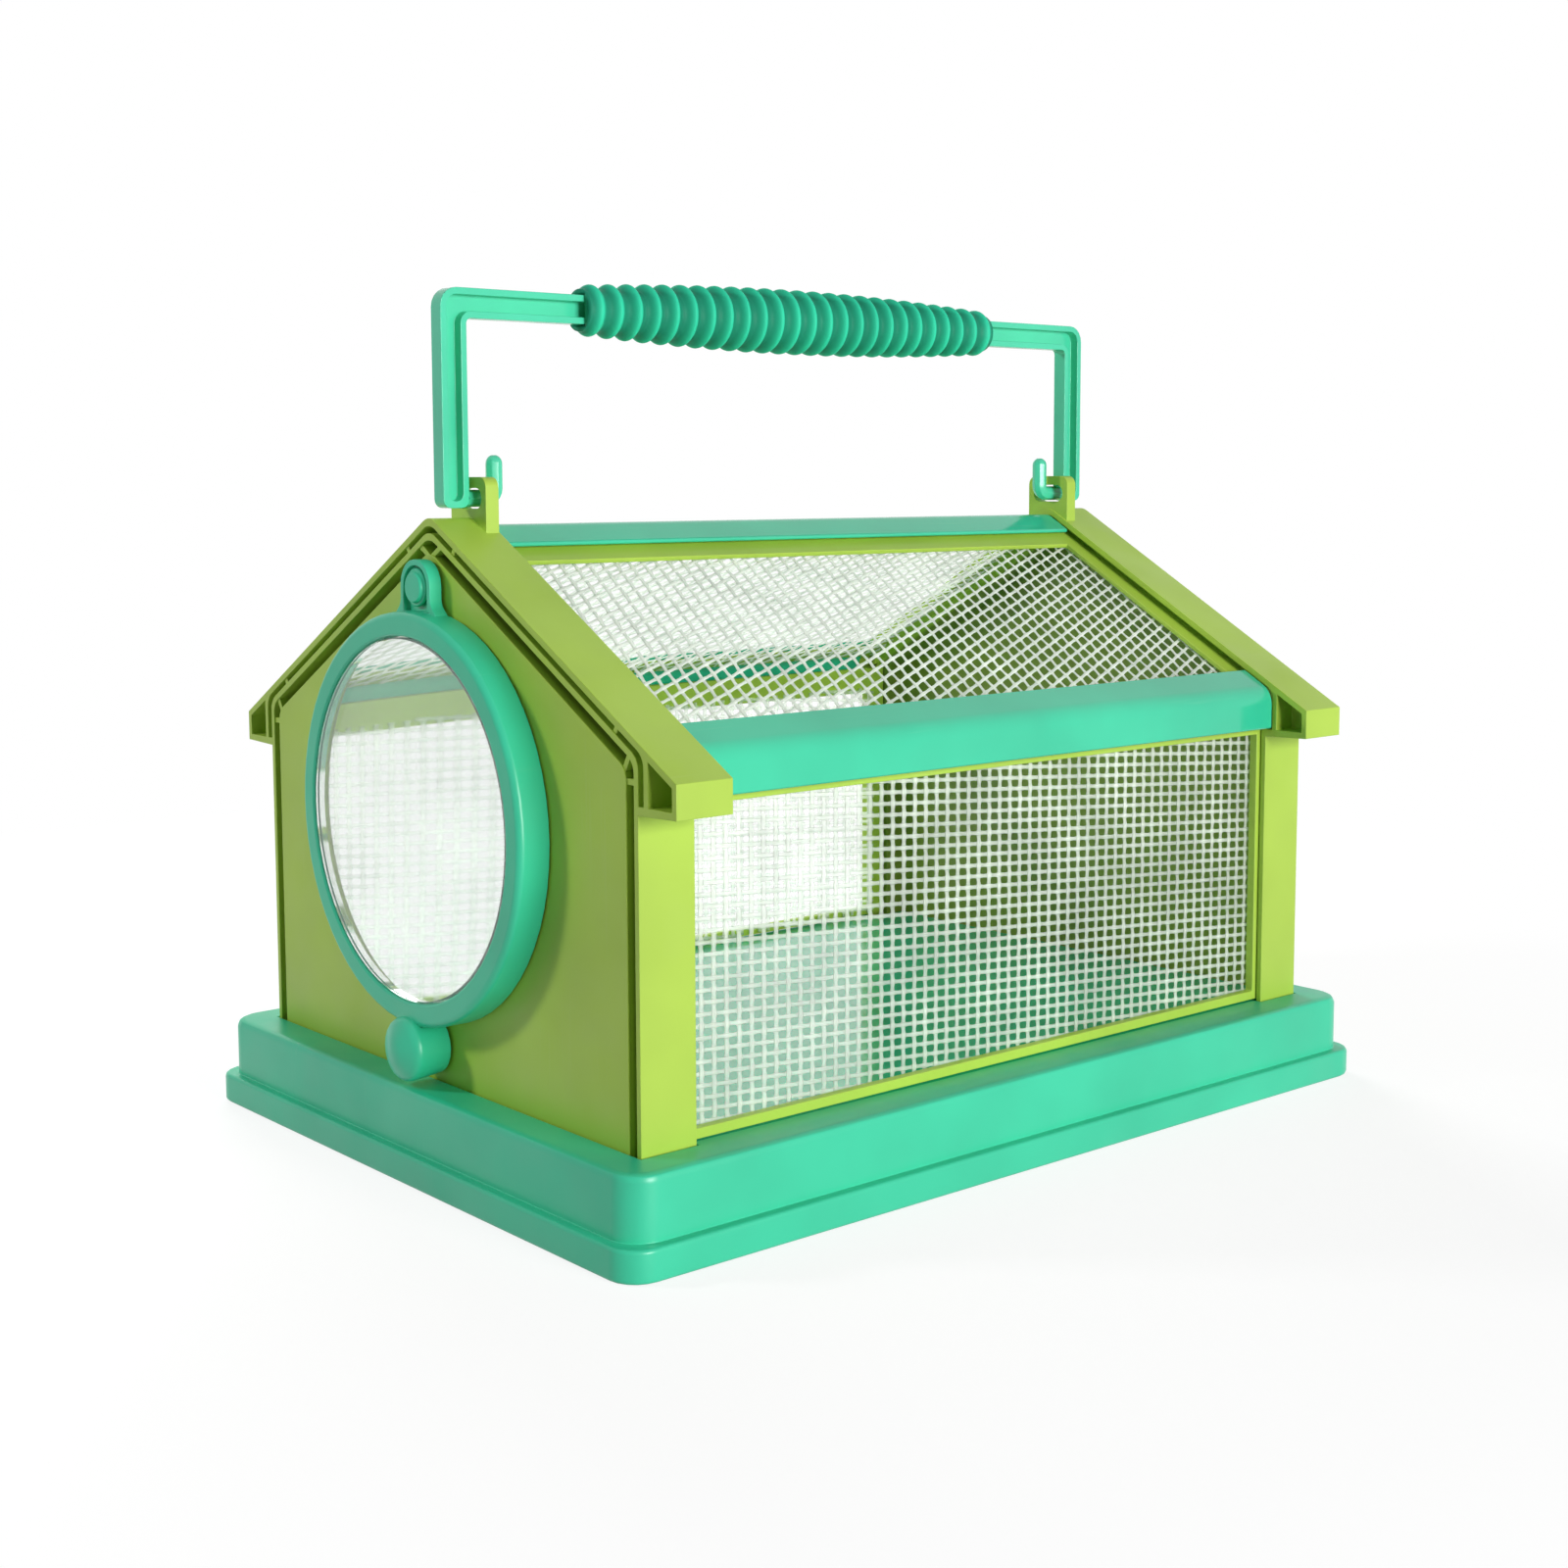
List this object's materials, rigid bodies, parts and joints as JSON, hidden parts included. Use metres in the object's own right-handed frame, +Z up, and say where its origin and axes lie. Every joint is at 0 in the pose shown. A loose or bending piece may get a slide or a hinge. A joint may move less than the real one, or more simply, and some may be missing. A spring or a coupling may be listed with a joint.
{
  "type": "insect cage",
  "caption": "House-shaped insect cage with net windows in sides and roof, a round clear door that swings aside on a pin, and a ribbed handle that folds over the ridge.",
  "frame": {"origin": "centre of the base's underside", "axes": "+Z up, -Y out of the door end, ridge along Y"},
  "size_m": [0.1498, 0.2, 0.1709],
  "materials": {
    "teal_plastic": "satin moulded teal plastic",
    "lime_plastic": "satin moulded lime plastic",
    "grip_plastic": "ribbed darker teal plastic",
    "clear_plastic": "clear sheet",
    "white_net": "white woven net",
    "white_plastic": "small white clip"
  },
  "bodies": {
    "house": {"base_tray": "teal_plastic", "gable_end_front": "lime_plastic", "gable_end_rear": "lime_plastic", "side_frame_right": "lime_plastic", "side_frame_left": "lime_plastic", "side_net_right": "white_net", "side_net_left": "white_net", "roof_frame_right": "lime_plastic", "roof_frame_left": "lime_plastic", "roof_net_right": "white_net", "roof_net_left": "white_net", "eave_rail_right": "teal_plastic", "eave_rail_left": "teal_plastic", "ridge_cap": "teal_plastic", "door_pin": "teal_plastic", "pin_clip": "white_plastic"},
    "handle": {"handle_bail": "teal_plastic", "handle_grip": "grip_plastic"},
    "door": {"door_ring": "teal_plastic", "door_pane": "clear_plastic", "pane_retainer": "teal_plastic"}
  },
  "joints": [
    {"name": "handle_swing", "type": "hinge", "parent": "house", "child": "handle", "pos_m": [0, 0, 0.128], "axis": [0, 1, 0], "range_deg": [-112, 112]},
    {"name": "door_swing", "type": "hinge", "parent": "house", "child": "door", "pos_m": [0, -0.0915, 0.11165], "axis": [0, 1, 0], "range_deg": [-120, 120]}
  ]
}
